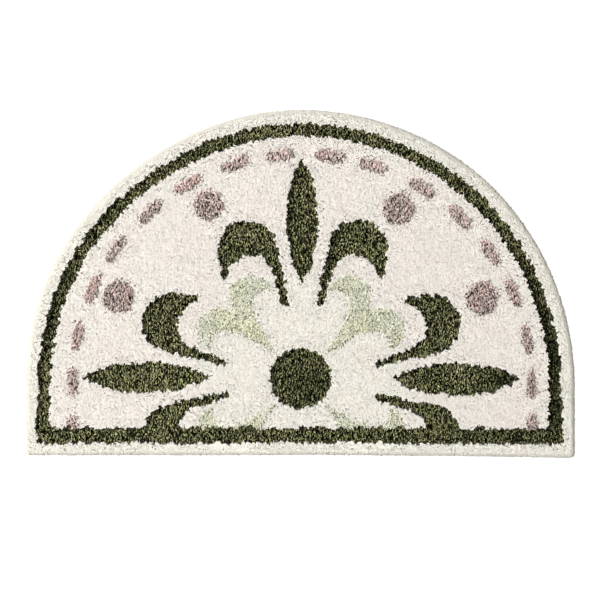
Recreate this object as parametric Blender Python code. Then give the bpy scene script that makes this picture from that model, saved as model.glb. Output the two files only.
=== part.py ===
# A half-round tufted bath mat, lying flat, its pile up and its round edge towards +Y.
# It is one piece, backing and cut pile together. The dark green pile is sheared lower
# than the ivory pile around it, so the border line, the disc and the leaves are sunk.
# The origin is under the middle of the mat, on the surface that it lies on.

import math

import bmesh
import bpy
from mathutils import Vector

# The outline is a half circle with short straight sides below it. All sizes are in metres.
# It is cut by hand: flatter or fuller in places, and the base sags towards its right end.
MAT_RADIUS = 0.4000
STRAIGHT_SIDE = 0.1040
CORNER_RADIUS = 0.0090
BASE_SAG = 0.0040
MAT_DEPTH = MAT_RADIUS + STRAIGHT_SIDE + BASE_SAG
STRAYS = (
    {"name": "flat shoulder", "angle": 124, "spread": 22, "out": -0.0045},
    {"name": "full shoulder", "angle": 48, "spread": 14, "out": 0.0012},
)

# The pile, and how much its trimmed edge and its sheared top stray from true
FULL_HEIGHT = 0.0180
LOW_STEP = 0.0040
EDGE_STRAY = 0.0008
TOP_STRAY = 0.0005

# How the side swells past the backing and rounds over at the top, a row for each ring
SIDE_RINGS = (
    {"height": 0.0000, "inset": 0.0030},
    {"height": 0.0035, "inset": 0.0026},
    {"height": 0.0070, "inset": 0.0008},
    {"height": 0.0110, "inset": 0.0000},
    {"height": 0.0145, "inset": 0.0012},
    {"height": 0.0168, "inset": 0.0038},
    {"height": 0.0180, "inset": 0.0085},
)

# The border line runs round inside the outline, wider along the straight edge
BORDER_RADIUS = 0.3797
BORDER_BELOW = 0.0847
BORDER_WIDTH = 0.0195
BORDER_BASE_WIDTH = 0.0232
BORDER_SIDE_FLARE = 0.0022
BORDER_CORNER = 0.0030
BORDER_INNER_CORNER = 0.0090

# The rosette's centre lies a little above the centre of the round edge
ROSETTE_ASIDE = 0.0015
ROSETTE_RISE = 0.0095
DISC_RADIUS = 0.0450

# Each spear leaf points away from the rosette's centre, turned in degrees from +X, with its axis
# shifted to its own left. Start and end are measured along it, and the power sets how full it is.
SPEAR_POWER = 0.8
SPEARS = (
    {"name": "right", "turn": 0, "shift": -0.0011, "start": 0.1320, "end": 0.3190, "width": 0.0480},
    {"name": "up", "turn": 90, "shift": -0.0024, "start": 0.1375, "end": 0.3200, "width": 0.0465},
    {"name": "left", "turn": 180, "shift": -0.0018, "start": 0.1325, "end": 0.3160, "width": 0.0460},
)

# A curl leaf beside a spear: four circles, placed along the spear's axis and aside from it,
# and the angles in degrees that the outline follows each of them through
CURL_ARCS = (
    {"name": "tail", "along": 0.1120, "aside": 0.0250, "radius": 0.0055, "start": 105, "end": 282},
    {"name": "head", "along": 0.1890, "aside": 0.0810, "radius": 0.0440, "start": -78, "end": 112},
    {"name": "horn", "along": 0.1545, "aside": 0.1140, "radius": 0.0058, "start": 112, "end": 240},
    {"name": "hollow", "along": 0.1485, "aside": 0.0760, "radius": 0.0325, "start": 60, "end": -80},
)

# Two curl leaves to a spear, to its left, side 1, and to its right, and how far each has strayed
CURLS = (
    {"name": "right_a", "spear": 0, "side": 1, "along": 0.0000, "aside": -0.0016},
    {"name": "right_b", "spear": 0, "side": -1, "along": 0.0000, "aside": 0.0007},
    {"name": "up_a", "spear": 1, "side": 1, "along": -0.0033, "aside": -0.0010},
    {"name": "up_b", "spear": 1, "side": -1, "along": -0.0029, "aside": 0.0003},
    {"name": "left_a", "spear": 2, "side": 1, "along": -0.0043, "aside": 0.0000},
    {"name": "left_b", "spear": 2, "side": -1, "along": -0.0026, "aside": -0.0021},
)

# How finely curves and the top are divided
CURL_STEP = 0.0070
OUTLINE_STEPS = {"round": 60, "side": 5, "base": 24, "corner": 4}
SPEAR_STEPS = 12
DISC_STEPS = 28
TOP_GRID = 0.0400
CUTTER_RISE = 0.0100

ROUND_CENTRE = Vector((0, MAT_DEPTH / 2 - MAT_RADIUS))
ROSETTE = ROUND_CENTRE + Vector((ROSETTE_ASIDE, ROSETTE_RISE))


def pile_material(name, colour):
    material = bpy.data.materials.new(name)
    material.use_nodes = True
    shader = material.node_tree.nodes["Principled BSDF"]
    shader.inputs["Base Color"].default_value = (*colour, 1)
    shader.inputs["Roughness"].default_value = 0.95
    shader.inputs["Metallic"].default_value = 0
    return material


def arc(centre, radius, start, end, steps):
    """Points on a circle between two angles in degrees, both ends included."""
    angles = [math.radians(start + (end - start) * i / steps) for i in range(steps + 1)]
    return [centre + radius * Vector((math.cos(a), math.sin(a))) for a in angles]


def between(start, end, steps):
    """Points on a straight line, both ends left out."""
    return [start.lerp(end, i / steps) for i in range(1, steps)]


def half_round(radius, below, corner):
    """A half circle on straight sides, anticlockwise from the right end of the base."""
    steps = OUTLINE_STEPS
    floor = ROUND_CENTRE.y - below
    right = arc(Vector((radius - corner, floor + corner)), corner, -90, 0, steps["corner"])
    dome = arc(ROUND_CENTRE, radius, 0, 180, steps["round"])
    left = arc(Vector((corner - radius, floor + corner)), corner, 180, 270, steps["corner"])
    points = right + between(right[-1], dome[0], steps["side"]) + dome
    points += between(dome[-1], left[0], steps["side"]) + left
    return points + between(left[-1], right[0], steps["base"])


def edge_stray(point):
    """How far the hand-trimmed pile edge falls short of its true line here."""
    wave = math.sin(23 * (point.x + point.y) + 0.6) + 0.6 * math.sin(57 * (point.x - point.y))
    return EDGE_STRAY * (1.6 + wave) / 3.2


def hand_cut(point, flare=0):
    """Where a point of the true half round lies on this mat. A flare widens the straight sides."""
    offset = point - ROUND_CENTRE
    angle = math.degrees(math.atan2(offset.y, offset.x))
    out = sum(row["out"] * math.exp(-(((angle - row["angle"]) / row["spread"]) ** 2)) for row in STRAYS)
    below = min(max(-offset.y / STRAIGHT_SIDE, 0), 1)
    moved = point + offset * (out / MAT_RADIUS)
    moved.x += flare * min(2 * below, 1) * point.x / MAT_RADIUS
    moved.y -= BASE_SAG * (below * max(point.x / MAT_RADIUS, 0)) ** 2
    return moved


def stray_outline(radius, below, corner):
    outline = half_round(radius, below, corner)
    return [hand_cut(point) - edge_stray(point) * (point - ROUND_CENTRE).normalized() for point in outline]


def top_stray(point):
    """How far the sheared top rises above or dips below its full height here."""
    wave = math.sin(31 * point.x + 1.1) * math.sin(37 * point.y + 0.4)
    return TOP_STRAY * (wave + 0.5 * math.sin(63 * point.x - 41 * point.y))


def spear_axes(spear):
    """Where a spear's axis starts from, its direction, and the direction to its left."""
    turn = math.radians(spear["turn"])
    along = Vector((math.cos(turn), math.sin(turn)))
    across = Vector((-along.y, along.x))
    return ROSETTE + across * spear["shift"], along, across


def spear_outline(spear):
    """A leaf pointed at both ends."""
    start, along, across = spear_axes(spear)
    edge = []
    for i in range(1, SPEAR_STEPS):
        t = i / SPEAR_STEPS
        half_width = spear["width"] / 2 * (4 * t * (1 - t)) ** SPEAR_POWER
        edge.append((spear["start"] + t * (spear["end"] - spear["start"]), half_width))
    near = [start + along * u - across * v for u, v in edge]
    far = [start + along * u + across * v for u, v in reversed(edge)]
    return [start + along * spear["start"], *near, start + along * spear["end"], *far]


def curl_outline(curl):
    start, along, across = spear_axes(SPEARS[curl["spear"]])
    start = start + along * curl["along"] + across * curl["side"] * curl["aside"]
    points = []
    for row in CURL_ARCS:
        length = math.radians(abs(row["end"] - row["start"])) * row["radius"]
        steps = max(3, round(length / CURL_STEP))
        points += arc(Vector((row["along"], row["aside"])), row["radius"], row["start"], row["end"], steps)
    return [start + along * p.x + across * curl["side"] * p.y for p in points]


def add_object(name, bm):
    mesh = bpy.data.meshes.new(name)
    bm.to_mesh(mesh)
    bm.free()
    obj = bpy.data.objects.new(name, mesh)
    bpy.context.scene.collection.objects.link(obj)
    return obj


def mat_body():
    """The whole mat at full pile height: rings up the side, and a top on a grid of points."""
    bm = bmesh.new()
    rings = []
    for row in SIDE_RINGS:
        outline = stray_outline(MAT_RADIUS - row["inset"], STRAIGHT_SIDE - row["inset"], CORNER_RADIUS)
        rings.append([bm.verts.new((*point, row["height"])) for point in outline])
    for lower, upper in zip(rings, rings[1:]):
        for i in range(len(lower)):
            j = (i + 1) % len(lower)
            bm.faces.new((lower[i], lower[j], upper[j], upper[i]))
    bm.faces.new(reversed(rings[0]))
    top = [bm.faces.new(rings[-1])]

    for axis, reach in ((Vector((1, 0, 0)), MAT_RADIUS), (Vector((0, 1, 0)), MAT_DEPTH / 2)):
        for i in range(1, math.ceil(2 * reach / TOP_GRID)):
            edges = {edge for face in top for edge in face.edges}
            verts = {vert for face in top for vert in face.verts}
            cut_at = axis * (i * TOP_GRID - reach)
            bmesh.ops.bisect_plane(bm, geom=[*top, *edges, *verts], plane_co=cut_at, plane_no=axis)
            top = [face for face in bm.faces if min(vert.co.z for vert in face.verts) > FULL_HEIGHT - 1e-6]
    for vert in {vert for face in top for vert in face.verts}:
        vert.co.z += top_stray(vert.co)
    bmesh.ops.triangulate(bm, faces=bm.faces)
    return add_object("tufted_mat", bm)


def cut_low(mat, name, outline, hole=None):
    """Sinks the pile inside this outline, and outside the hole in it, to the low height."""
    bm = bmesh.new()
    floor = FULL_HEIGHT - LOW_STEP
    outer = [bm.verts.new((*point, floor)) for point in outline]
    if hole:
        inner = [bm.verts.new((*point, floor)) for point in hole]
        count = len(outer)
        for i in range(count):
            bm.faces.new((outer[i], outer[(i + 1) % count], inner[(i + 1) % count], inner[i]))
    else:
        bm.faces.new(outer)
        # A leaf that runs into the border line ends there
        clip_at = Vector((0, ROUND_CENTRE.y - BORDER_BELOW + BORDER_WIDTH / 2, 0))
        geom = [*bm.verts, *bm.edges, *bm.faces]
        bmesh.ops.bisect_plane(bm, geom=geom, plane_co=clip_at, plane_no=(0, -1, 0), clear_outer=True)
    raised = bmesh.ops.extrude_face_region(bm, geom=bm.faces[:])["geom"]
    raised_verts = [part for part in raised if isinstance(part, bmesh.types.BMVert)]
    bmesh.ops.translate(bm, verts=raised_verts, vec=(0, 0, LOW_STEP + CUTTER_RISE))
    bmesh.ops.recalc_face_normals(bm, faces=bm.faces)
    cutter = add_object(name, bm)
    cutter.data.materials.append(bpy.data.materials["green_pile"])
    cutter.hide_render = True
    cutter.display_type = "WIRE"
    cut = mat.modifiers.new(name, "BOOLEAN")
    cut.operation = "DIFFERENCE"
    cut.solver = "EXACT"
    cut.material_mode = "TRANSFER"
    cut.object = cutter


for old in list(bpy.data.objects):
    bpy.data.objects.remove(old, do_unlink=True)

ivory = pile_material("ivory_pile", (0.84, 0.79, 0.72))
green = pile_material("green_pile", (0.066, 0.065, 0.027))

tufted_mat = mat_body()
tufted_mat.data.materials.append(ivory)

border_hole = half_round(
    BORDER_RADIUS - BORDER_WIDTH, BORDER_BELOW - BORDER_BASE_WIDTH, BORDER_INNER_CORNER
)
border_line = half_round(BORDER_RADIUS, BORDER_BELOW, BORDER_CORNER)
cut_low(
    tufted_mat, "cut_border", [hand_cut(point, BORDER_SIDE_FLARE) for point in border_line],
    hole=[hand_cut(point) for point in border_hole],
)
cut_low(tufted_mat, "cut_disc", arc(ROSETTE, DISC_RADIUS, 0, 360, DISC_STEPS)[:-1])
for spear in SPEARS:
    cut_low(tufted_mat, f"cut_spear_{spear['name']}", spear_outline(spear))
for curl in CURLS:
    cut_low(tufted_mat, f"cut_curl_{curl['name']}", curl_outline(curl))
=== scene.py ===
import math

import bmesh
import bpy
import numpy as np
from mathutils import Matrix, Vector, noise
from mathutils.bvhtree import BVHTree
from mathutils.kdtree import KDTree


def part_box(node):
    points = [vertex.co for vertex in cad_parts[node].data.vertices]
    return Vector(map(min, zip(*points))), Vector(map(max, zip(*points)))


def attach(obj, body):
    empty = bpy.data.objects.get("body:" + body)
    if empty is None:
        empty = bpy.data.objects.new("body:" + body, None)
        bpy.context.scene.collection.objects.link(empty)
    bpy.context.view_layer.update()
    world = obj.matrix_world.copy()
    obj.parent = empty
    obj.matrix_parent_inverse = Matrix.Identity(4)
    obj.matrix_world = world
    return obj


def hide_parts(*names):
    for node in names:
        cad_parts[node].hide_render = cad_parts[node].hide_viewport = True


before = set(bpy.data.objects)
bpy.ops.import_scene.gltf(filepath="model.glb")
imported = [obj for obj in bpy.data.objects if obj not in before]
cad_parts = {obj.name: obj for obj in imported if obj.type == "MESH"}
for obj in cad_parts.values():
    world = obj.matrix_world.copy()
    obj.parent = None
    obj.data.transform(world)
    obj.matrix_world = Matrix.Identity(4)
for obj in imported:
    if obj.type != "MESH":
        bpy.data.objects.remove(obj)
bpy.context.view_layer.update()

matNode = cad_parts["tufted_mat"]
matLow, matHigh = (Vector(corner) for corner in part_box("tufted_mat"))

# The mat's own measures in metres: a half circle on short straight sides
roundRadius = (matHigh.x - matLow.x) / 2
roundX = (matHigh.x + matLow.x) / 2
roundY = matHigh.y - roundRadius
pileTop = 0.018
lowPileTop = 0.014
midPileTop = (pileTop + lowPileTop) / 2
widestHeight = 0.011  # where the rounded edge stands out farthest
edgeHeight = 0.012  # a top lower than this belongs to the rounded edge
edgeWidth = 0.012  # how far in the rounded edge reaches
outlineStep = 0.0015

print("reading the high and low pile off the frame")


def frameSurface():
    whole = bmesh.new()
    whole.from_mesh(matNode.data)
    tree = BVHTree.FromBMesh(whole)
    whole.free()
    return tree


matTree = frameSurface()


def surfaceHeights(x, y):
    # Heights of the mat's top at the places, 0 off the mat
    above, down = 0.1, Vector((0, 0, -1))
    hits = [matTree.ray_cast(Vector((px, py, above)), down)[0] for px, py in zip(x, y)]
    return np.array([hit.z if hit else 0 for hit in hits])


def readOutline():
    # Evenly spaced points round the mat's widest outline, and the way inwards at each
    cut = bmesh.new()
    cut.from_mesh(matNode.data)
    geom = cut.verts[:] + cut.edges[:] + cut.faces[:]
    level = (0, 0, widestHeight)
    made = bmesh.ops.bisect_plane(cut, geom=geom, plane_co=level, plane_no=(0, 0, 1))["geom_cut"]
    ring = np.array([part.co.xy for part in made if isinstance(part, bmesh.types.BMVert)])
    cut.free()
    ring = ring[np.argsort(np.arctan2(ring[:, 1], ring[:, 0] - roundX))]
    ring = np.concatenate([ring, ring[:1]])
    walked = np.concatenate([[0], np.cumsum(np.hypot(*np.diff(ring, axis=0).T))])
    stops = np.arange(0, walked[-1], outlineStep)
    points = np.stack([np.interp(stops, walked, ring[:, 0]), np.interp(stops, walked, ring[:, 1])], 1)
    ahead = np.roll(points, -1, axis=0) - np.roll(points, 1, axis=0)
    ahead /= np.linalg.norm(ahead, axis=1, keepdims=True)
    return points, np.stack([-ahead[:, 1], ahead[:, 0]], 1)


def nearestTree(points):
    tree = KDTree(len(points))
    for i, (x, y) in enumerate(points):
        tree.insert((x, y, 0), i)
    tree.balance()
    return tree


def nearestIndex(tree, x, y):
    # For each place, the number of the tree's point that is nearest
    return np.array([tree.find((px, py, 0))[1] for px, py in zip(x, y)])


outline, inwards = readOutline()
outlineTree = nearestTree(outline)


def outlineInset(x, y):
    # How far inside the mat's outline each place is, below 0 outside it
    near = nearestIndex(outlineTree, x, y)
    return np.sum((np.stack([x, y], 1) - outline[near]) * inwards[near], axis=1)


def standsLow(heights, inset):
    # Where the frame's top is that of the low pile, away from the rounded edge
    return (heights > edgeHeight) & (heights < midPileTop) & (inset > edgeWidth)


# The motifs that are dyed into the high pile

rosette = {
    "x": roundX + 0.0015,
    "y": roundY + 0.0095,
    "petalReach": 0.150,
}

dots = {
    "distance": 0.292,
    "places": ((25.5, 0.0228), (60.7, 0.0222), (117.0, 0.0205), (154.0, 0.0225)),  # angle and radius
}

dashes = {
    "x": roundX + 0.0028,
    "y": roundY + 0.0015,
    "distance": 0.3325,
    "length": 0.0405,
    "width": 0.0132,
    "squareness": 3,  # 2 is an ellipse
    "angles": (0, 11, 23.5, 35, 46.5, 58.5, 72, 83, 95.5, 107, 119.5, 131.5, 144, 155.5, 168, 179.5),
    "lowDashY": -0.066,
}

sprig = {
    "stemStart": 0.050,
    "stemWidest": 0.114,
    "stemEnd": 0.143,
    "stemHalfWidth": 0.0160,
    "hookAlong": 0.1350,
    "hookAside": 0.0340,
    "hookRadius": 0.0305,
    "hollowAlong": 0.1100,
    "hollowAside": 0.0420,
    "hollowRadius": 0.0220,
}


def insideDots(x, y):
    inside = np.zeros(len(x), bool)
    for angle, radius in dots["places"]:
        dotX = roundX + dots["distance"] * math.cos(math.radians(angle))
        dotY = roundY + dots["distance"] * math.sin(math.radians(angle))
        inside |= np.hypot(x - dotX, y - dotY) < radius
    return inside


def insideDash(along, out):
    reach = (2 * np.abs(along) / dashes["length"]) ** dashes["squareness"]
    return reach + (2 * np.abs(out) / dashes["width"]) ** dashes["squareness"] < 1


def insideDashes(x, y):
    # A ring of dashes round the half circle, and one cut short on each straight side
    fromX, fromY = x - dashes["x"], y - dashes["y"]
    inside = insideDash(fromY - dashes["lowDashY"], np.abs(fromX) - dashes["distance"])
    for turn in np.radians(dashes["angles"]):
        out = fromX * math.cos(turn) + fromY * math.sin(turn) - dashes["distance"]
        along = fromY * math.cos(turn) - fromX * math.sin(turn)
        inside |= insideDash(along, out)
    return inside


def insideSprigs(x, y):
    # Four alike, on the diagonals of the rosette: a stem that widens, and a hook to either side
    across, up = np.abs(x - rosette["x"]), np.abs(y - rosette["y"])
    along = (across + up) * math.sqrt(0.5)
    aside = np.abs(across - up) * math.sqrt(0.5)
    rise = (along - sprig["stemStart"]) / (sprig["stemWidest"] - sprig["stemStart"])
    fall = (sprig["stemEnd"] - along) / (sprig["stemEnd"] - sprig["stemWidest"])
    stem = aside < sprig["stemHalfWidth"] * np.minimum(rise, fall)
    hook = np.hypot(along - sprig["hookAlong"], aside - sprig["hookAside"]) < sprig["hookRadius"]
    hollow = np.hypot(along - sprig["hollowAlong"], aside - sprig["hollowAside"]) < sprig["hollowRadius"]
    return stem | (hook & ~hollow)


def insidePetals(x, y):
    return np.hypot(x - rosette["x"], y - rosette["y"]) < rosette["petalReach"]


print("planting the pile")

# Each yarn is spun from a dark to a pale shade, and here and there the pale shade is a tinted one.
# The spread says how its strands fall between them, as the two numbers of a beta distribution.
# Streak is how much of that neighbours share in streaks along the mat, patchy how much the shade
# changes from place to place, and the listed places are where it is paler, or darker if the gain is below 0:
# patches of tone, and in the green also painted shade where the light falls off toward the right side.
# The root is how dark a strand is painted at its foot: painted shade for the shadow down in the pile,
# fading out toward the tip. The shoulder says how far up it is thickest: near 1 the cut end is blunt.
# Roundness is how much its shading turns round it. Lean is across and along the mat, for a tuft and
# for a strand, and brush is the way that the whole pile lies.
# Pale strands are lifted and fall over the dark.
ivory = {
    "spread": (1, 1), "streak": 0.6, "patchy": 0, "tinge": 1.2,
    "root": 0.9, "rootShadeEnd": 0.9, "shoulder": 0.94, "radius": 0.00150, "roundness": 0.28,
    "brush": (0.0, -0.25), "tuftLean": (0.03, 0.10), "strandLean": (0.03, 0.10), "splay": 12,
    "rise": 0.0002, "lift": 0, "fall": 0,
}
mauve = {
    "dark": (0.10, 0.024, 0.015), "pale": (1.0, 0.85, 0.78), "tinted": (1.0, 0.75, 0.67),
    "spread": (0.23, 0.16), "streak": 0, "patchy": 0.20, "tinge": 1.2,
    "root": 0.08, "rootShadeEnd": 0.8, "shoulder": 0.90, "radius": 0.00125, "roundness": 0.28,
    "brush": (0.0, 0.0), "tuftLean": (0.06, 0.15), "strandLean": (0.10, 0.60), "splay": 20,
    "rise": 0.0003, "lift": 0.0030, "fall": 2.0,
    "toneAndPaintedShade": (
        {"x": 0.265, "y": -0.0200, "reach": 0.050, "gain": -0.14},
    ),
}
yarns = {
    "pink_ivory": {
        **ivory,
        "dark": (0.86, 0.80, 0.73), "pale": (0.97, 0.905, 0.835), "tinted": (0.94, 0.92, 0.84),
    },
    "cream_ivory": {
        **ivory,
        "dark": (0.85, 0.81, 0.72), "pale": (0.96, 0.92, 0.83), "tinted": (0.92, 0.925, 0.83),
    },
    # The edge's ivory is painted darker than the field's: painted shade for the rounded side of the pile
    "shaded_rim_ivory": {
        **ivory,
        "dark": (0.73, 0.69, 0.61), "pale": (0.83, 0.79, 0.71), "tinted": (0.79, 0.795, 0.71),
        "root": 1.0, "shoulder": 0.80, "radius": 0.00170, "roundness": 0.05,
    },
    "green": {
        # The pale shade is partly the yarn's paler fibres and partly a painted sheen highlight on their cut
        # tips
        "dark": (0.005, 0.009, 0.002), "pale": (0.80, 0.86, 0.40), "tinted": (0.86, 0.80, 0.44),
        "spread": (0.18, 0.82), "streak": 0, "patchy": 0.30, "tinge": 0.5,
        "root": 0.02, "rootShadeEnd": 0.6, "shoulder": 0.88, "radius": 0.00058, "roundness": 0.28,
        "brush": (0.0, 0.0), "tuftLean": (0.10, 0.35), "strandLean": (0.12, 0.60), "splay": 20,
        "rise": 0.0003, "lift": 0.0020, "fall": 2.0,
        # Painted shade: the two places at x 0.370 darken the green where the light falls off toward the
        # right side; the others are patches of paler or darker tone
        "toneAndPaintedShade": (
            {"x": -0.200, "y": -0.1365, "reach": 0.075, "gain": 0.50},
            {"x": -0.040, "y": 0.2245, "reach": 0.055, "gain": 0.35},
            {"x": 0.240, "y": -0.1365, "reach": 0.060, "gain": 0.30},
            {"x": 0.110, "y": 0.0560, "reach": 0.040, "gain": 0.30},
            {"x": -0.084, "y": 0.0960, "reach": 0.040, "gain": 0.12},
            {"x": 0.370, "y": -0.1400, "reach": 0.130, "gain": -0.50},
            {"x": 0.370, "y": 0.0000, "reach": 0.080, "gain": -0.28},
            {"x": -0.370, "y": -0.0200, "reach": 0.090, "gain": -0.18},
            {"x": 0.000, "y": -0.1365, "reach": 0.050, "gain": -0.12},
        ),
    },
    "mauve": mauve,
    "sage": {
        "dark": (0.40, 0.41, 0.14), "pale": (1.0, 1.0, 0.87), "tinted": (1.0, 1.0, 0.75),
        "spread": (0.95, 0.22), "streak": 0, "patchy": 0, "tinge": 1.0,
        "root": 0.25, "rootShadeEnd": 0.8, "shoulder": 0.92, "radius": 0.00092, "roundness": 0.28,
        "brush": (0.0, 0.0), "tuftLean": (0.06, 0.15), "strandLean": (0.08, 0.20), "splay": 20,
        "rise": 0.0003, "lift": 0.0008, "fall": 1.0,
    },
    "pale_mauve": {
        **mauve,
        "spread": (0.52, 0.13), "patchy": 0.3,
        "toneAndPaintedShade": (
            {"x": 0.335, "y": -0.1100, "reach": 0.070, "gain": -0.20},
            {"x": 0.115, "y": 0.1650, "reach": 0.090, "gain": 0.40},
        ),
    },
}

pile = {
    "seed": 11,
    "tuftPitch": 0.0045,
    "tuftJitter": 0.0012,
    "edgeStray": 0.0028,  # how far the edge of the low pile wanders
    "strayScale": 60,
    "strayLayers": (3, 9),  # any numbers that no other noise has
    "strandPitch": 0.00185,
    "finePitch": 0.00135,
    "strandJitter": 0.00030,
    "strandLength": 0.0115,
    "lowStrandLength": 0.0075,
    "lengthSpread": (0.9, 1.1),
    "radiusSpread": (0.8, 1.2),
    "unevenness": 0.7,  # of a yarn's rise, for a tuft and for a strand
    "leanPivot": 0.5,  # how far up a strand it leans about
    "blend": 0.0014,  # how far a motif's yarn strays into the next
    "streakScale": (500, 70),
    "streakLayer": 7,
    "streakContrast": 1.5,
    "patchScale": 24,
    "patchLayer": 5,
    "tintSpread": 0.3,
    "rimStart": 0.0070,
    "marginWidth": 0.0300,
    "borderReach": 0.0460,
    "fieldSplit": 0.11,
    "floorGap": 0.0004,
}
rng = np.random.default_rng(pile["seed"])


def staggeredGrid(pitch, jitter):
    # Places over the mat's box, every second row moved along by half a step
    xs = np.arange(matLow.x, matHigh.x, pitch)
    ys = np.arange(matLow.y, matHigh.y, pitch * math.sqrt(0.75))
    gridX, gridY = np.meshgrid(xs, ys)
    gridX[1::2] += pitch / 2
    places = np.stack([gridX.ravel(), gridY.ravel()], 1)
    return places + rng.normal(0, jitter, places.shape)


def noiseOver(places, scale, layer):
    # Smooth noise from about -1 to 1, another one for each layer
    return np.array([noise.noise((u, v, layer)) for u, v in places * scale])


def plantTufts():
    # The tufts, which of them stand in low pile, and three random numbers for each
    tufts = staggeredGrid(pile["tuftPitch"], pile["tuftJitter"])
    tufts = tufts[outlineInset(*tufts.T) > -pile["tuftPitch"]]
    stray = np.stack([noiseOver(tufts, pile["strayScale"], layer) for layer in pile["strayLayers"]], 1)
    near = tufts + stray * pile["edgeStray"]
    isLow = standsLow(surfaceHeights(*near.T), outlineInset(*tufts.T))
    return tufts, isLow, rng.normal(0, 1, (len(tufts), 3))


def plantStrands():
    # Strands stand finer in the low pile and the sprigs. For each its place, a place close by that
    # its dye is taken from, and what it takes from the tuft nearest to it
    tufts, tuftIsLow, tuftChance = plantTufts()
    tree = nearestTree(tufts)
    grown = []
    for pitch, fine in ((pile["finePitch"], True), (pile["strandPitch"], False)):
        places = staggeredGrid(pitch, pile["strandJitter"])
        places = places[outlineInset(*places.T) > pile["rimStart"]]
        tuft = nearestIndex(tree, *places.T)
        dyeAt = places + rng.normal(0, pile["blend"], places.shape)
        kept = (insideSprigs(*dyeAt.T) | tuftIsLow[tuft]) == fine
        places, tuft, dyeAt = places[kept], tuft[kept], dyeAt[kept]
        grown.append({
            "place": places, "dyeAt": dyeAt, "fromTuft": places - tufts[tuft],
            "isLow": tuftIsLow[tuft], "tuftChance": tuftChance[tuft],
        })
    return {key: np.concatenate([batch[key] for batch in grown]) for key in grown[0]}


def sortStrands(strands):
    # Which strands each piece has: it takes those that the pieces before it left
    x, y = strands["place"].T
    dyeX, dyeY = strands["dyeAt"].T
    isLow, inset = strands["isLow"], outlineInset(x, y)
    claims = {
        "border_pile": isLow & (inset < pile["borderReach"]),
        "leaf_pile": isLow,
        "margin_pile": inset < pile["marginWidth"],
        "dot_pile": insideDots(dyeX, dyeY),
        "dash_pile": insideDashes(dyeX, dyeY),
        "sage_pile": insideSprigs(dyeX, dyeY),
        "petal_pile": insidePetals(dyeX, dyeY),
        "field_pile_left": x < -pile["fieldSplit"],
        "field_pile_middle": x <= pile["fieldSplit"],
        "field_pile_right": x > pile["fieldSplit"],
    }
    free = np.ones(len(x), bool)
    chosen = {}
    for name, claimed in claims.items():
        chosen[name] = free & claimed
        free &= ~claimed
    return chosen


def shadeStrands(yarn, places):
    # From 0, dark, to 1, pale: partly by chance, partly in short streaks along the mat
    streaks = noiseOver(places, pile["streakScale"], pile["streakLayer"])
    streaks = np.clip(0.5 + pile["streakContrast"] * streaks, 0, 1)
    chance = rng.beta(*yarn["spread"], len(places))
    patches = noiseOver(places, pile["patchScale"], pile["patchLayer"])
    tone = 1 + yarn["patchy"] * patches
    # Listed places make the shade paler or darker; for the green some of them are painted shade where the
    # light falls off
    for toneAndPaintedShade in yarn.get("toneAndPaintedShade", ()):
        away = np.hypot(places[:, 0] - toneAndPaintedShade["x"], places[:, 1] - toneAndPaintedShade["y"])
        tone += toneAndPaintedShade["gain"] * np.exp(-(away / toneAndPaintedShade["reach"]) ** 2)
    shade = (chance * (1 - yarn["streak"]) + streaks * yarn["streak"]) * tone
    tint = 0.5 + yarn["tinge"] * patches + rng.normal(0, pile["tintSpread"], len(places))
    return {"shade": np.clip(shade, 0, 1), "tint": np.clip(tint, 0, 1)}


def standStrands(yarn, strands, shade):
    # The strands' tips, axes and lengths, the pale ones lifted and fallen over the dark
    count = len(shade)
    fallen = 1 + yarn["fall"] * shade[:, None]
    lean = strands["tuftChance"][:, :2] * yarn["tuftLean"] + strands["fromTuft"] * yarn["splay"]
    lean += rng.normal(0, 1, lean.shape) * yarn["strandLean"] * fallen + yarn["brush"]
    axes = np.concatenate([lean, np.ones((count, 1))], 1)
    axes /= np.linalg.norm(axes, axis=1, keepdims=True)
    chance = pile["unevenness"] * strands["tuftChance"][:, 2] + pile["unevenness"] * rng.normal(0, 1, count)
    height = np.where(strands["isLow"], lowPileTop, pileTop) + chance * yarn["rise"]
    height = height + yarn["lift"] * (shade - 0.5)
    length = np.where(strands["isLow"], pile["lowStrandLength"], pile["strandLength"])
    length = length * rng.uniform(*pile["lengthSpread"], count)
    moved = axes[:, :2] * length[:, None] * pile["leanPivot"]
    return np.concatenate([strands["place"] + moved, height[:, None]], 1), axes, length


def strandTemplate(shoulder):
    # A strand of yarn along +Z and one unit long: root point, shoulder ring, tip point
    merge = 0.001
    bm = bmesh.new()
    bmesh.ops.create_cone(bm, cap_ends=False, segments=3, radius1=1, radius2=0, depth=1 - shoulder)
    bmesh.ops.translate(bm, verts=bm.verts, vec=(0, 0, (1 + shoulder) / 2))
    bmesh.ops.remove_doubles(bm, verts=bm.verts, dist=merge)
    foot = [edge for edge in bm.edges if max(vert.co.z for vert in edge.verts) < shoulder + merge]
    raised = bmesh.ops.extrude_edge_only(bm, edges=foot)["geom"]
    rootVerts = [part for part in raised if isinstance(part, bmesh.types.BMVert)]
    bmesh.ops.pointmerge(bm, verts=rootVerts, merge_co=(0, 0, 0))
    bmesh.ops.recalc_face_normals(bm, faces=bm.faces)
    bm.verts.index_update()
    points = np.array([vert.co for vert in bm.verts])
    faces = np.array([[vert.index for vert in face.verts] for face in bm.faces])
    bm.free()
    return points, faces


def templateMap(points, faces):
    # The tip lies in the middle of a strand's cell in the UV map, the root all round
    cellReach = 0.46
    ring = np.hypot(*points[:, :2].T) > 0.5
    corners = np.zeros((*faces.shape, 2))
    for i, face in enumerate(faces):
        around = [points[v, :2] for v in face if ring[v]]
        for j, v in enumerate(face):
            if ring[v]:
                corners[i, j] = points[v, :2] * cellReach
            elif points[v, 2] < 0.1:
                corners[i, j] = (around[0] + around[1]) * cellReach
    return corners + 0.5


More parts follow.
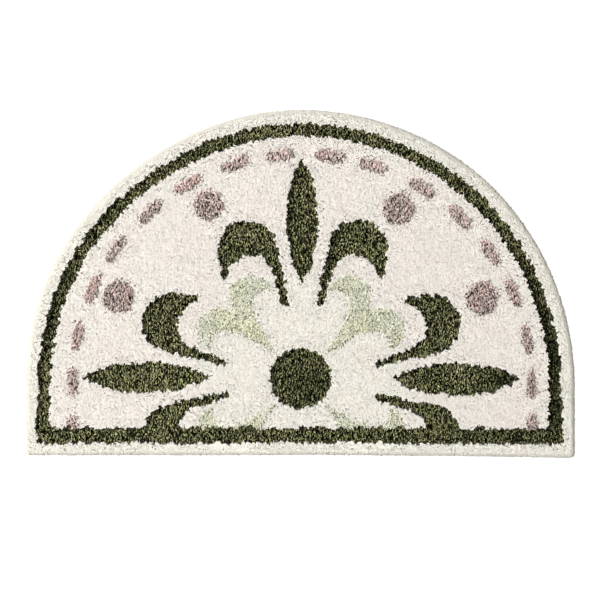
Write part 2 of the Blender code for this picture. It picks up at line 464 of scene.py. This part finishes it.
def triangleMesh(name, verts, faces):
    mesh = bpy.data.meshes.new(name)
    mesh.vertices.add(len(verts))
    mesh.vertices.foreach_set("co", verts.astype(np.float32).ravel())
    mesh.loops.add(faces.size)
    mesh.loops.foreach_set("vertex_index", faces.astype(np.int32).ravel())
    mesh.polygons.add(len(faces))
    mesh.polygons.foreach_set("loop_start", np.arange(0, faces.size, 3, dtype=np.int32))
    mesh.update(calc_edges=True)
    mesh.shade_smooth()
    return mesh


def buildPile(name, yarn, tips, axes, length, attributes, facing=1):
    # One joined mesh of strands; the axes point from root to tip
    local, localFaces = strandTemplate(yarn["shoulder"])
    count = len(tips)
    side = np.cross(axes, rng.normal(0, 1, (count, 3)))
    side /= np.linalg.norm(side, axis=1, keepdims=True)
    other = np.cross(axes, side)
    radius = yarn["radius"] * rng.uniform(*pile["radiusSpread"], count)
    roots = (tips - axes * length[:, None])[:, None]
    verts = roots + axes[:, None] * (length[:, None] * local[:, 2])[..., None]
    verts = verts + side[:, None] * (radius[:, None] * local[:, 0])[..., None]
    verts = verts + other[:, None] * (radius[:, None] * local[:, 1])[..., None]
    verts[..., 2] = np.maximum(verts[..., 2], pile["floorGap"])
    faces = localFaces[None] + (np.arange(count) * len(local))[:, None, None]
    mesh = triangleMesh(name, verts.reshape(-1, 3), faces.reshape(-1, 3))

    # Fibres scatter light, so a strand is shaded along its axis, and only a little round
    normals = (axes * facing + np.array((0, 0, 1)) * (1 - facing))[:, None]
    normals = normals + side[:, None] * (yarn["roundness"] * local[:, :1])
    normals = normals + other[:, None] * (yarn["roundness"] * local[:, 1:2])
    normals /= np.linalg.norm(normals, axis=2, keepdims=True)
    mesh.normals_split_custom_set_from_vertices(normals.reshape(-1, 3))

    cells = math.ceil(math.sqrt(count))
    column, row = np.arange(count) % cells, np.arange(count) // cells
    corners = templateMap(local, localFaces)[None] + np.stack([column, row], 1)[:, None, None]
    mesh.uv_layers.new(name="OFBake").data.foreach_set("uv", (corners / cells).astype(np.float32).ravel())
    attributes["tip"] = np.tile(local[:, 2], count)
    for key, values in attributes.items():
        values = values if len(values) > count else np.repeat(values, len(local))
        mesh.attributes.new(key, "FLOAT", "POINT").data.foreach_set("value", values.astype(np.float32))
    piece = bpy.data.objects.new(name, mesh)
    bpy.context.scene.collection.objects.link(piece)
    print(f"  {name}: {count} strands, {faces.size // 3} triangles")
    return piece


yarnOf = {
    "border_pile": "green",
    "leaf_pile": "green",
    "margin_pile": "cream_ivory",
    "dot_pile": "mauve",
    "dash_pile": "pale_mauve",
    "sage_pile": "sage",
    "petal_pile": "cream_ivory",
    "field_pile_left": "pink_ivory",
    "field_pile_middle": "pink_ivory",
    "field_pile_right": "pink_ivory",
    "rim_pile": "shaded_rim_ivory",
}
pieces = {}
allStrands = plantStrands()
for name, chosen in sortStrands(allStrands).items():
    yarn = yarns[yarnOf[name]]
    strands = {key: values[chosen] for key, values in allStrands.items()}
    shades = shadeStrands(yarn, strands["place"])
    tips, axes, length = standStrands(yarn, strands, shades["shade"])
    pieces[name] = buildPile(name, yarn, tips, axes, length, shades)

print("fanning the pile out over the edge")

# Rows of strands from the shoulder of the edge down to the floor. A strand on top is shaded as if
# it stood upright, and more like its own way the farther down it is
rim = {
    "rows": (
        {"inset": 0.0068, "height": 0.0178, "tilt": 10},
        {"inset": 0.0056, "height": 0.0176, "tilt": 18},
        {"inset": 0.0046, "height": 0.0172, "tilt": 26},
        {"inset": 0.0036, "height": 0.0167, "tilt": 34},
        {"inset": 0.0026, "height": 0.0160, "tilt": 43},
        {"inset": 0.0018, "height": 0.0149, "tilt": 52},
        {"inset": 0.0011, "height": 0.0134, "tilt": 62},
        {"inset": 0.0007, "height": 0.0118, "tilt": 70},
        {"inset": 0.0006, "height": 0.0100, "tilt": 78},
        {"inset": 0.0008, "height": 0.0080, "tilt": 85},
        {"inset": 0.0014, "height": 0.0060, "tilt": 90},
        {"inset": 0.0022, "height": 0.0038, "tilt": 94},
    ),
    "stray": (0.0005, 0.0005, 0.0003),
    "lean": 0.12,
    "lengthShare": (0.7, 0.9),
    "lowestTip": 0.0016,
    "facing": (0.10, 0.65),
    "facingTilt": 64,
    "facingGain": 3,
}


def plantRim():
    # The tips, axes and lengths of the edge's strands, and how much their own way shades them
    rows = rim["rows"]
    heights = np.repeat([row["height"] for row in rows], len(outline))
    tilts = np.radians(np.repeat([row["tilt"] for row in rows], len(outline)))[:, None]
    places = np.concatenate([outline + inwards * row["inset"] for row in rows])
    outwards = -np.tile(inwards, (len(rows), 1))
    tips = np.concatenate([places, heights[:, None]], 1)
    tips += rng.normal(0, rim["stray"], tips.shape)
    tips[:, 2] = np.maximum(tips[:, 2], rim["lowestTip"])
    axes = np.concatenate([outwards * np.sin(tilts), np.cos(tilts)], 1)
    axes += rng.normal(0, rim["lean"], axes.shape)
    axes /= np.linalg.norm(axes, axis=1, keepdims=True)
    length = pile["strandLength"] * rng.uniform(*rim["lengthShare"], len(tips))
    facing = np.clip((tilts - math.radians(rim["facingTilt"])) * rim["facingGain"], *rim["facing"])
    return tips, axes, length, facing


# The edge's strands get the darker ivory, painted shade for the rounded side
shadedRimYarn = yarns[yarnOf["rim_pile"]]
rimTips, rimAxes, rimLength, rimFacing = plantRim()
rimShades = shadeStrands(shadedRimYarn, rimTips[:, :2])
pieces["rim_pile"] = buildPile("rim_pile", shadedRimYarn, rimTips, rimAxes, rimLength, rimShades, facing=rimFacing)

print("making the ground that the pile stands in")

ground = {
    "voxel": 0.0070,
    "top": 0.0080,
    "highTop": 0.0160,  # under ivory pile that is clear of the motifs
    "clear": 0.0075,
    "looks": 8,  # directions in which a place has to be clear
    "draw": 0.0040,  # how far its edge is drawn in
    "footHeight": 0.003,
    "footDraw": 0.4,  # share of the draw below that height
    "rimInset": 0.0040,  # nearer to the outline than this it stays low
    "highColour": (0.84, 0.78, 0.70),
    "lowColour": (0.010, 0.010, 0.004),
}


def remeshedMat():
    # The frame's mat in even faces, as a piece of its own
    mesh = matNode.data.copy()
    bm = bmesh.new()
    bm.from_mesh(mesh)
    bmesh.ops.remove_doubles(bm, verts=bm.verts, dist=0.00001)
    bm.to_mesh(mesh)
    bm.free()
    piece = bpy.data.objects.new("backing", mesh)
    bpy.context.scene.collection.objects.link(piece)
    remesh = piece.modifiers.new("remesh", "REMESH")
    remesh.mode = "VOXEL"
    remesh.voxel_size = ground["voxel"]
    graph = bpy.context.evaluated_depsgraph_get()
    made = bpy.data.meshes.new_from_object(piece.evaluated_get(graph))
    piece.modifiers.clear()
    piece.data = made
    return piece


def groundIsOpen(x, y, inset):
    # Where only ivory pile stands around, so that the ground may come up under it
    isOpen = inset > ground["rimInset"]
    for turn in np.arange(0, 2 * math.pi, 2 * math.pi / ground["looks"]):
        nearX, nearY = x + ground["clear"] * math.cos(turn), y + ground["clear"] * math.sin(turn)
        isOpen &= (surfaceHeights(nearX, nearY) > midPileTop) | (outlineInset(nearX, nearY) < edgeWidth)
        isOpen &= ~(insideDots(nearX, nearY) | insideDashes(nearX, nearY) | insideSprigs(nearX, nearY))
    return isOpen


def buildGround():
    # The mat sunk below the pile's tips and drawn in at its edge
    piece = remeshedMat()
    mesh = piece.data
    co = np.empty(len(mesh.vertices) * 3, np.float32)
    mesh.vertices.foreach_get("co", co)
    co = co.reshape(-1, 3)
    x, y = co[:, 0].copy(), co[:, 1].copy()
    inset = outlineInset(x, y)
    isLow = standsLow(surfaceHeights(x, y), inset)
    draw = ground["draw"] * np.clip(1 - inset / edgeWidth, 0, 1)
    draw *= np.where(co[:, 2] < ground["footHeight"], ground["footDraw"], 1)
    co[:, :2] += inwards[nearestIndex(outlineTree, x, y)] * draw[:, None]
    top = np.where(groundIsOpen(x, y, inset), ground["highTop"], ground["top"])
    co[:, 2] = np.clip(co[:, 2], 0, top)
    mesh.vertices.foreach_set("co", co.ravel())
    mesh.update()
    mesh.shade_smooth()
    mesh.materials.clear()
    mesh.attributes.new("low", "FLOAT", "POINT").data.foreach_set("value", isLow.astype(np.float32))
    return piece


backing = buildGround()

print("mixing the yarn finishes")

fibre = {
    "roughness": 0.9,
    "clothRoughness": 0.95,
    "rootShadeStart": 0.25,
    "scale": 2600,
    "strength": 0.4,
    "depth": 0.0003,
}


def newFinish(name, roughness):
    # A material without gloss, with its node tree and its shader
    material = bpy.data.materials.new(name)
    material.use_nodes = True
    shader = material.node_tree.nodes["Principled BSDF"]
    shader.inputs["Roughness"].default_value = roughness
    return material, material.node_tree, shader


def readAttribute(tree, name):
    node = tree.nodes.new("ShaderNodeAttribute")
    node.attribute_name = name
    return node.outputs["Fac"]


def mixColours(tree, factor, first, second, blend="MIX"):
    # Each of the three is a fixed value or another node's output
    mix = tree.nodes.new("ShaderNodeMix")
    mix.data_type = "RGBA"
    mix.blend_type = blend
    for socket, value in (("Factor", factor), ("A", first), ("B", second)):
        if isinstance(value, bpy.types.NodeSocket):
            tree.links.new(value, mix.inputs[socket])
        else:
            mix.inputs[socket].default_value = (*value, 1) if isinstance(value, tuple) else value
    return mix.outputs["Result"]


def yarnMaterial(name):
    yarn = yarns[name]
    material, tree, shader = newFinish(name + "_yarn", fibre["roughness"])
    shader.inputs["Specular IOR Level"].default_value = 0
    pale = mixColours(tree, readAttribute(tree, "tint"), yarn["pale"], yarn["tinted"])
    colour = mixColours(tree, readAttribute(tree, "shade"), yarn["dark"], pale)
    # Painted shade: the yarn's colour is darkened toward the strand's root, for the shadow down in the pile
    rootShade = tree.nodes.new("ShaderNodeMapRange")
    rootShade.inputs["From Min"].default_value = fibre["rootShadeStart"]
    rootShade.inputs["From Max"].default_value = yarn["rootShadeEnd"]
    rootShade.inputs["To Min"].default_value = yarn["root"]
    tree.links.new(readAttribute(tree, "tip"), rootShade.inputs["Value"])
    rootShaded = mixColours(tree, 1, colour, rootShade.outputs["Result"], blend="MULTIPLY")
    tree.links.new(rootShaded, shader.inputs["Base Color"])

    place = tree.nodes.new("ShaderNodeTexCoord")
    fibres = tree.nodes.new("ShaderNodeTexNoise")
    fibres.inputs["Scale"].default_value = fibre["scale"]
    tree.links.new(place.outputs["Object"], fibres.inputs["Vector"])
    bump = tree.nodes.new("ShaderNodeBump")
    bump.inputs["Strength"].default_value = fibre["strength"]
    bump.inputs["Distance"].default_value = fibre["depth"]
    tree.links.new(fibres.outputs["Fac"], bump.inputs["Height"])
    tree.links.new(bump.outputs["Normal"], shader.inputs["Normal"])
    return material


def clothMaterial():
    material, tree, shader = newFinish("backing_cloth", fibre["clothRoughness"])
    shader.inputs["Specular IOR Level"].default_value = 0
    colour = mixColours(tree, readAttribute(tree, "low"), ground["highColour"], ground["lowColour"])
    tree.links.new(colour, shader.inputs["Base Color"])
    return material


yarnMaterials = {name: yarnMaterial(name) for name in yarns}
for name, yarnName in yarnOf.items():
    pieces[name].data.materials.append(yarnMaterials[yarnName])
backing.data.materials.append(clothMaterial())

for piece in [backing, *pieces.values()]:
    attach(piece, "root")
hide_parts("tufted_mat")

print("setting the floor, light and camera")

studio = {
    "floorSize": 6,
    "floorDrop": 0.0001,
    "floorColour": (0.5, 0.5, 0.5),
    "floorGlow": 0.85,
    "floorRoughness": 0.9,
    "fieldWidth": 0.868,
    "lens": 100,
    "sensorWidth": 36,
    "lookX": 0.0004,
    "lookY": -0.0238,
    "lampSize": 3.6,
    "lampPower": 2590,
    "lampPlace": (-10.8, 1.4, 7.0),
    "skyStrength": 0.42,
}


def layFloor():
    bm = bmesh.new()
    bmesh.ops.create_grid(bm, x_segments=1, y_segments=1, size=studio["floorSize"])
    bmesh.ops.translate(bm, verts=bm.verts, vec=(0, 0, -studio["floorDrop"]))
    mesh = bpy.data.meshes.new("studio_floor")
    bm.to_mesh(mesh)
    bm.free()
    floor = bpy.data.objects.new("studio_floor", mesh)
    bpy.context.scene.collection.objects.link(floor)
    material, tree, shader = newFinish("floor_white", studio["floorRoughness"])
    shader.inputs["Base Color"].default_value = (*studio["floorColour"], 1)
    shader.inputs["Emission Color"].default_value = (1, 1, 1, 1)
    shader.inputs["Emission Strength"].default_value = studio["floorGlow"]
    mesh.materials.append(material)


def hangLights():
    world = bpy.data.worlds.new("studio_sky")
    world.use_nodes = True
    world.node_tree.nodes["Background"].inputs["Color"].default_value = (1, 1, 1, 1)
    world.node_tree.nodes["Background"].inputs["Strength"].default_value = studio["skyStrength"]
    bpy.context.scene.world = world

    lamp = bpy.data.lights.new("soft_window", "AREA")
    lamp.size = studio["lampSize"]
    lamp.energy = studio["lampPower"]
    lampObject = bpy.data.objects.new("soft_window", lamp)
    lampObject.location = studio["lampPlace"]
    lampObject.rotation_euler = (-Vector(studio["lampPlace"])).to_track_quat("-Z", "Y").to_euler()
    bpy.context.scene.collection.objects.link(lampObject)


def setCamera():
    camera = bpy.data.cameras.new("camera")
    camera.lens = studio["lens"]
    camera.sensor_width = studio["sensorWidth"]
    cameraObject = bpy.data.objects.new("camera", camera)
    reach = studio["fieldWidth"] * studio["lens"] / studio["sensorWidth"]
    cameraObject.location = (studio["lookX"], studio["lookY"], pileTop + reach)
    bpy.context.scene.collection.objects.link(cameraObject)
    bpy.context.scene.camera = cameraObject
    bpy.context.scene.view_settings.view_transform = "Standard"


layFloor()
hangLights()
setCamera()
